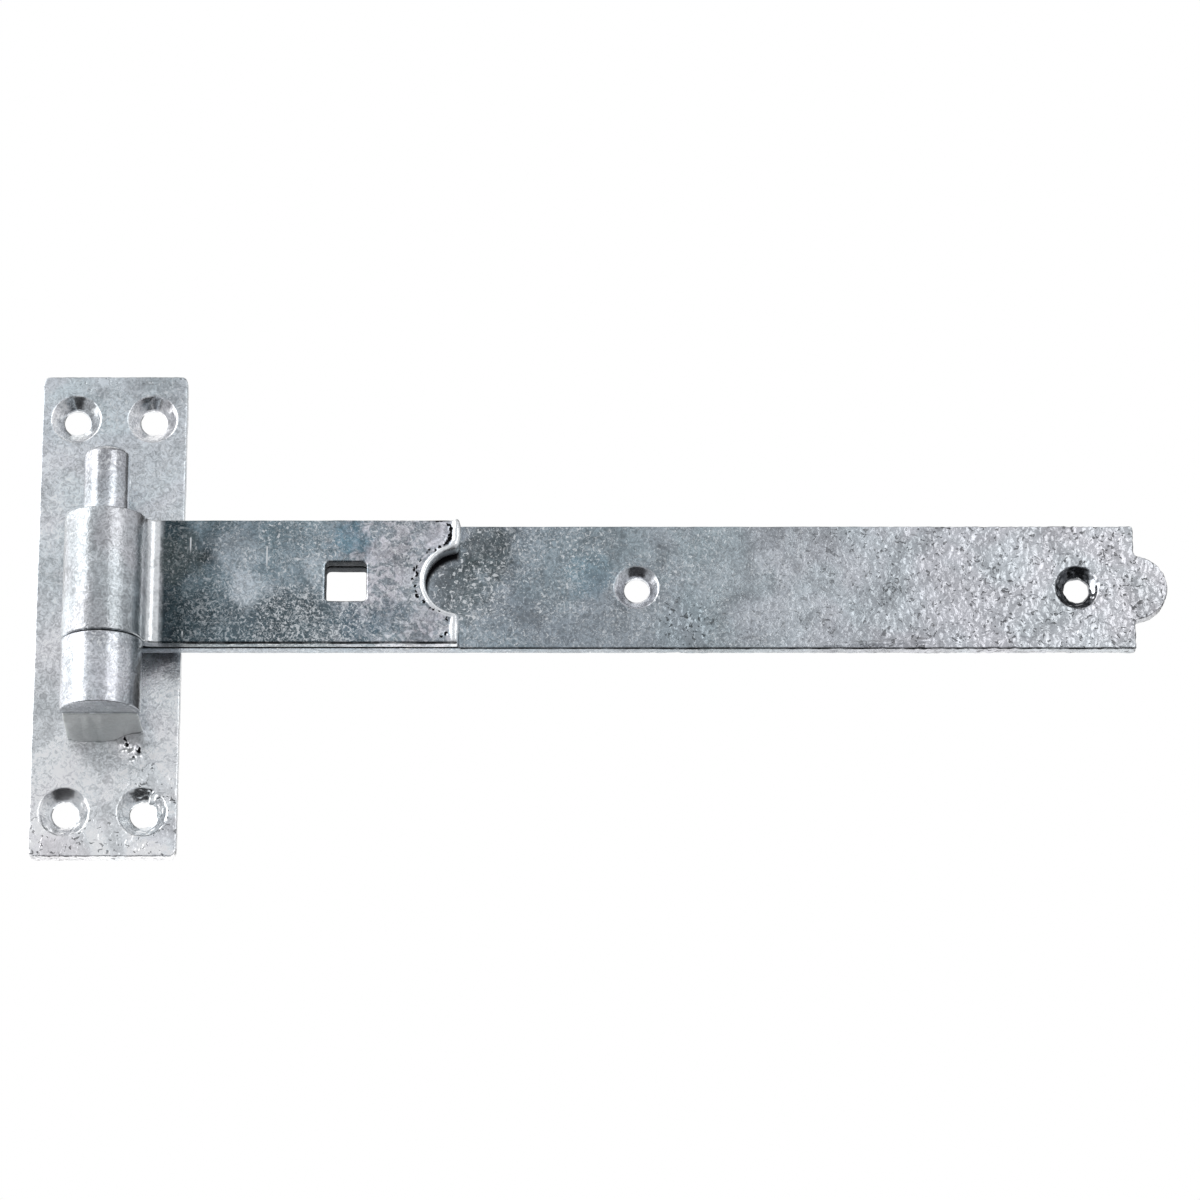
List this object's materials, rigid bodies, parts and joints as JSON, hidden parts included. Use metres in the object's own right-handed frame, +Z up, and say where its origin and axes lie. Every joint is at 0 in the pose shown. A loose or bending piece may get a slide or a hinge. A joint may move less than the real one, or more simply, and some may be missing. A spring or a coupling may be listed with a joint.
{
  "type": "hook and band gate hinge",
  "caption": "Hook and band gate hinge: a screw plate with an upright pin in a collar, and a long strap with a rolled eye that swings on it and lifts off.",
  "frame": {"origin": "centre of the hook plate's back face, where it sits on the gate post", "axes": "+X along the closed band towards its tip, +Y into the post, -Y out towards the viewer, +Z up along the pin"},
  "size_m": [0.309, 0.0321, 0.138],
  "materials": {
    "galvanised_plate": "hot-dip galvanised, dull silver grey",
    "galvanised_hook": "hot-dip galvanised, brighter silver",
    "galvanised_band": "hot-dip galvanised, mottled blue-grey"
  },
  "bodies": {
    "hook": {"hook_plate": "galvanised_plate", "collar": "galvanised_hook", "pin": "galvanised_hook", "weld_bead": "galvanised_hook"},
    "band": {"band": "galvanised_band"}
  },
  "joints": [
    {"name": "swing", "type": "hinge", "parent": "hook", "child": "band", "pos_m": [0, -0.021, 0.0042], "axis": [0, 0, -1], "range_deg": [0, 180]}
  ]
}
